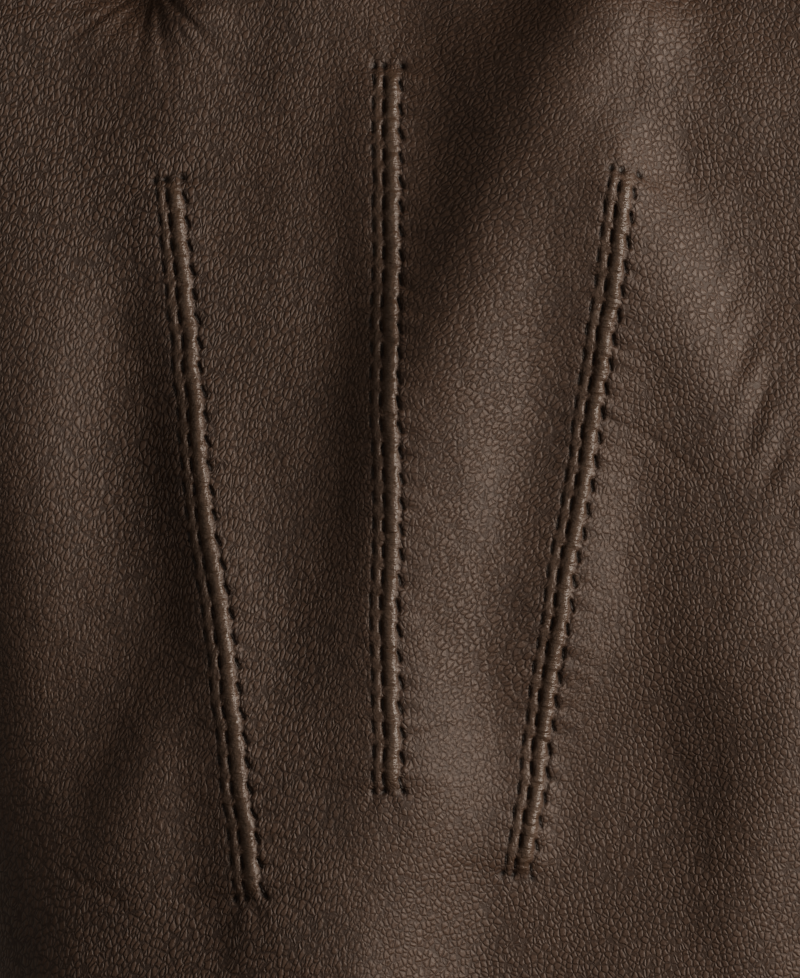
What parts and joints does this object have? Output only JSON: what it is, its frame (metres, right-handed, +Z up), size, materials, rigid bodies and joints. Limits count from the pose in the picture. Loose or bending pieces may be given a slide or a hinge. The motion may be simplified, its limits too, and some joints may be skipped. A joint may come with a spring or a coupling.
{
  "type": "touchscreen gloves",
  "caption": "Lined dark brown leather gloves with stitched points on the back, hinged fingers and conductive touch pads, lying palm down side by side.",
  "frame": {"origin": "under the middle of the pair, on the surface that the gloves lie on", "axes": "+Z up from the palms to the backs, +Y from the cuffs to the fingertips, +X from the left glove to the right glove"},
  "size_m": [0.3146, 0.2371, 0.0288],
  "materials": {
    "leather": "satin dark brown grain leather",
    "thread": "matt dark brown sewing thread",
    "lining": "matt brown knitted lining",
    "elastic": "matt woven elastic",
    "touch_pad": "smooth conductive coated leather"
  },
  "bodies": {
    "left_hand": {"left_back_panel": "leather", "left_palm_panel": "leather", "left_fork_quirks": "leather", "left_hand_lining": "lining", "left_cuff_hem": "leather", "left_wrist_elastic": "elastic", "left_back_points": "leather", "left_point_stitching": "thread"},
    "left_little_base": {"left_little_base_leather": "leather", "left_little_base_lining": "lining"},
    "left_little_tip": {"left_little_tip_leather": "leather", "left_little_tip_lining": "lining"},
    "left_ring_base": {"left_ring_base_leather": "leather", "left_ring_base_lining": "lining"},
    "left_ring_tip": {"left_ring_tip_leather": "leather", "left_ring_tip_lining": "lining"},
    "left_middle_base": {"left_middle_base_leather": "leather", "left_middle_base_lining": "lining"},
    "left_middle_tip": {"left_middle_tip_leather": "leather", "left_middle_tip_lining": "lining"},
    "left_index_base": {"left_index_base_leather": "leather", "left_index_base_lining": "lining"},
    "left_index_tip": {"left_index_tip_leather": "leather", "left_index_tip_lining": "lining", "left_index_touch_pad": "touch_pad"},
    "left_thumb_base": {"left_thumb_base_leather": "leather", "left_thumb_base_lining": "lining"},
    "left_thumb_tip": {"left_thumb_tip_leather": "leather", "left_thumb_tip_lining": "lining", "left_thumb_touch_pad": "touch_pad"},
    "right_hand": {"right_back_panel": "leather", "right_palm_panel": "leather", "right_fork_quirks": "leather", "right_hand_lining": "lining", "right_cuff_hem": "leather", "right_wrist_elastic": "elastic", "right_back_points": "leather", "right_point_stitching": "thread"},
    "right_little_base": {"right_little_base_leather": "leather", "right_little_base_lining": "lining"},
    "right_little_tip": {"right_little_tip_leather": "leather", "right_little_tip_lining": "lining"},
    "right_ring_base": {"right_ring_base_leather": "leather", "right_ring_base_lining": "lining"},
    "right_ring_tip": {"right_ring_tip_leather": "leather", "right_ring_tip_lining": "lining"},
    "right_middle_base": {"right_middle_base_leather": "leather", "right_middle_base_lining": "lining"},
    "right_middle_tip": {"right_middle_tip_leather": "leather", "right_middle_tip_lining": "lining"},
    "right_index_base": {"right_index_base_leather": "leather", "right_index_base_lining": "lining"},
    "right_index_tip": {"right_index_tip_leather": "leather", "right_index_tip_lining": "lining", "right_index_touch_pad": "touch_pad"},
    "right_thumb_base": {"right_thumb_base_leather": "leather", "right_thumb_base_lining": "lining"},
    "right_thumb_tip": {"right_thumb_tip_leather": "leather", "right_thumb_tip_lining": "lining", "right_thumb_touch_pad": "touch_pad"}
  },
  "joints": [
    {"name": "left_little_knuckle", "type": "hinge", "parent": "left_hand", "child": "left_little_base", "pos_m": [-0.1424, 0.0265, 0.0075], "axis": [-0.9925, -0.1219, 0], "range_deg": [0, 80]},
    {"name": "left_little_middle", "type": "hinge", "parent": "left_little_base", "child": "left_little_tip", "pos_m": [-0.14618, 0.05727, 0.0065], "axis": [-0.9925, -0.1219, 0], "range_deg": [0, 90]},
    {"name": "left_ring_knuckle", "type": "hinge", "parent": "left_hand", "child": "left_ring_base", "pos_m": [-0.119, 0.0325, 0.0075], "axis": [-0.999, -0.0436, 0], "range_deg": [0, 80]},
    {"name": "left_ring_middle", "type": "hinge", "parent": "left_ring_base", "child": "left_ring_tip", "pos_m": [-0.12075, 0.07246, 0.0065], "axis": [-0.999, -0.0436, 0], "range_deg": [0, 90]},
    {"name": "left_middle_knuckle", "type": "hinge", "parent": "left_hand", "child": "left_middle_base", "pos_m": [-0.0938, 0.0355, 0.0075], "axis": [-0.9998, 0.0175, 0], "range_deg": [0, 80]},
    {"name": "left_middle_middle", "type": "hinge", "parent": "left_middle_base", "child": "left_middle_tip", "pos_m": [-0.09305, 0.07849, 0.0065], "axis": [-0.9998, 0.0175, 0], "range_deg": [0, 90]},
    {"name": "left_index_knuckle", "type": "hinge", "parent": "left_hand", "child": "left_index_base", "pos_m": [-0.0674, 0.0315, 0.0075], "axis": [-0.9969, 0.0785, 0], "range_deg": [0, 80]},
    {"name": "left_index_middle", "type": "hinge", "parent": "left_index_base", "child": "left_index_tip", "pos_m": [-0.06442, 0.06938, 0.0065], "axis": [-0.9969, 0.0785, 0], "range_deg": [0, 90]},
    {"name": "left_thumb_root", "type": "hinge", "parent": "left_hand", "child": "left_thumb_base", "pos_m": [-0.045, -0.0265, 0.0075], "axis": [-0.866, 0.5, 0], "range_deg": [0, 50]},
    {"name": "left_thumb_middle", "type": "hinge", "parent": "left_thumb_base", "child": "left_thumb_tip", "pos_m": [-0.0305, -0.00138, 0.0065], "axis": [-0.866, 0.5, 0], "range_deg": [0, 70]},
    {"name": "right_little_knuckle", "type": "hinge", "parent": "right_hand", "child": "right_little_base", "pos_m": [0.1424, 0.0265, 0.0075], "axis": [-0.9925, 0.1219, 0], "range_deg": [0, 80]},
    {"name": "right_little_middle", "type": "hinge", "parent": "right_little_base", "child": "right_little_tip", "pos_m": [0.14618, 0.05727, 0.0065], "axis": [-0.9925, 0.1219, 0], "range_deg": [0, 90]},
    {"name": "right_ring_knuckle", "type": "hinge", "parent": "right_hand", "child": "right_ring_base", "pos_m": [0.119, 0.0325, 0.0075], "axis": [-0.999, 0.0436, 0], "range_deg": [0, 80]},
    {"name": "right_ring_middle", "type": "hinge", "parent": "right_ring_base", "child": "right_ring_tip", "pos_m": [0.12075, 0.07246, 0.0065], "axis": [-0.999, 0.0436, 0], "range_deg": [0, 90]},
    {"name": "right_middle_knuckle", "type": "hinge", "parent": "right_hand", "child": "right_middle_base", "pos_m": [0.0938, 0.0355, 0.0075], "axis": [-0.9998, -0.0175, 0], "range_deg": [0, 80]},
    {"name": "right_middle_middle", "type": "hinge", "parent": "right_middle_base", "child": "right_middle_tip", "pos_m": [0.09305, 0.07849, 0.0065], "axis": [-0.9998, -0.0175, 0], "range_deg": [0, 90]},
    {"name": "right_index_knuckle", "type": "hinge", "parent": "right_hand", "child": "right_index_base", "pos_m": [0.0674, 0.0315, 0.0075], "axis": [-0.9969, -0.0785, 0], "range_deg": [0, 80]},
    {"name": "right_index_middle", "type": "hinge", "parent": "right_index_base", "child": "right_index_tip", "pos_m": [0.06442, 0.06938, 0.0065], "axis": [-0.9969, -0.0785, 0], "range_deg": [0, 90]},
    {"name": "right_thumb_root", "type": "hinge", "parent": "right_hand", "child": "right_thumb_base", "pos_m": [0.045, -0.0265, 0.0075], "axis": [-0.866, -0.5, 0], "range_deg": [0, 50]},
    {"name": "right_thumb_middle", "type": "hinge", "parent": "right_thumb_base", "child": "right_thumb_tip", "pos_m": [0.0305, -0.00138, 0.0065], "axis": [-0.866, -0.5, 0], "range_deg": [0, 70]},
    {"name": "right_glove_lift", "type": "slide", "parent": "left_hand", "child": "right_hand", "axis": [0, 0, 1], "range_m": [0, 0.12]}
  ]
}
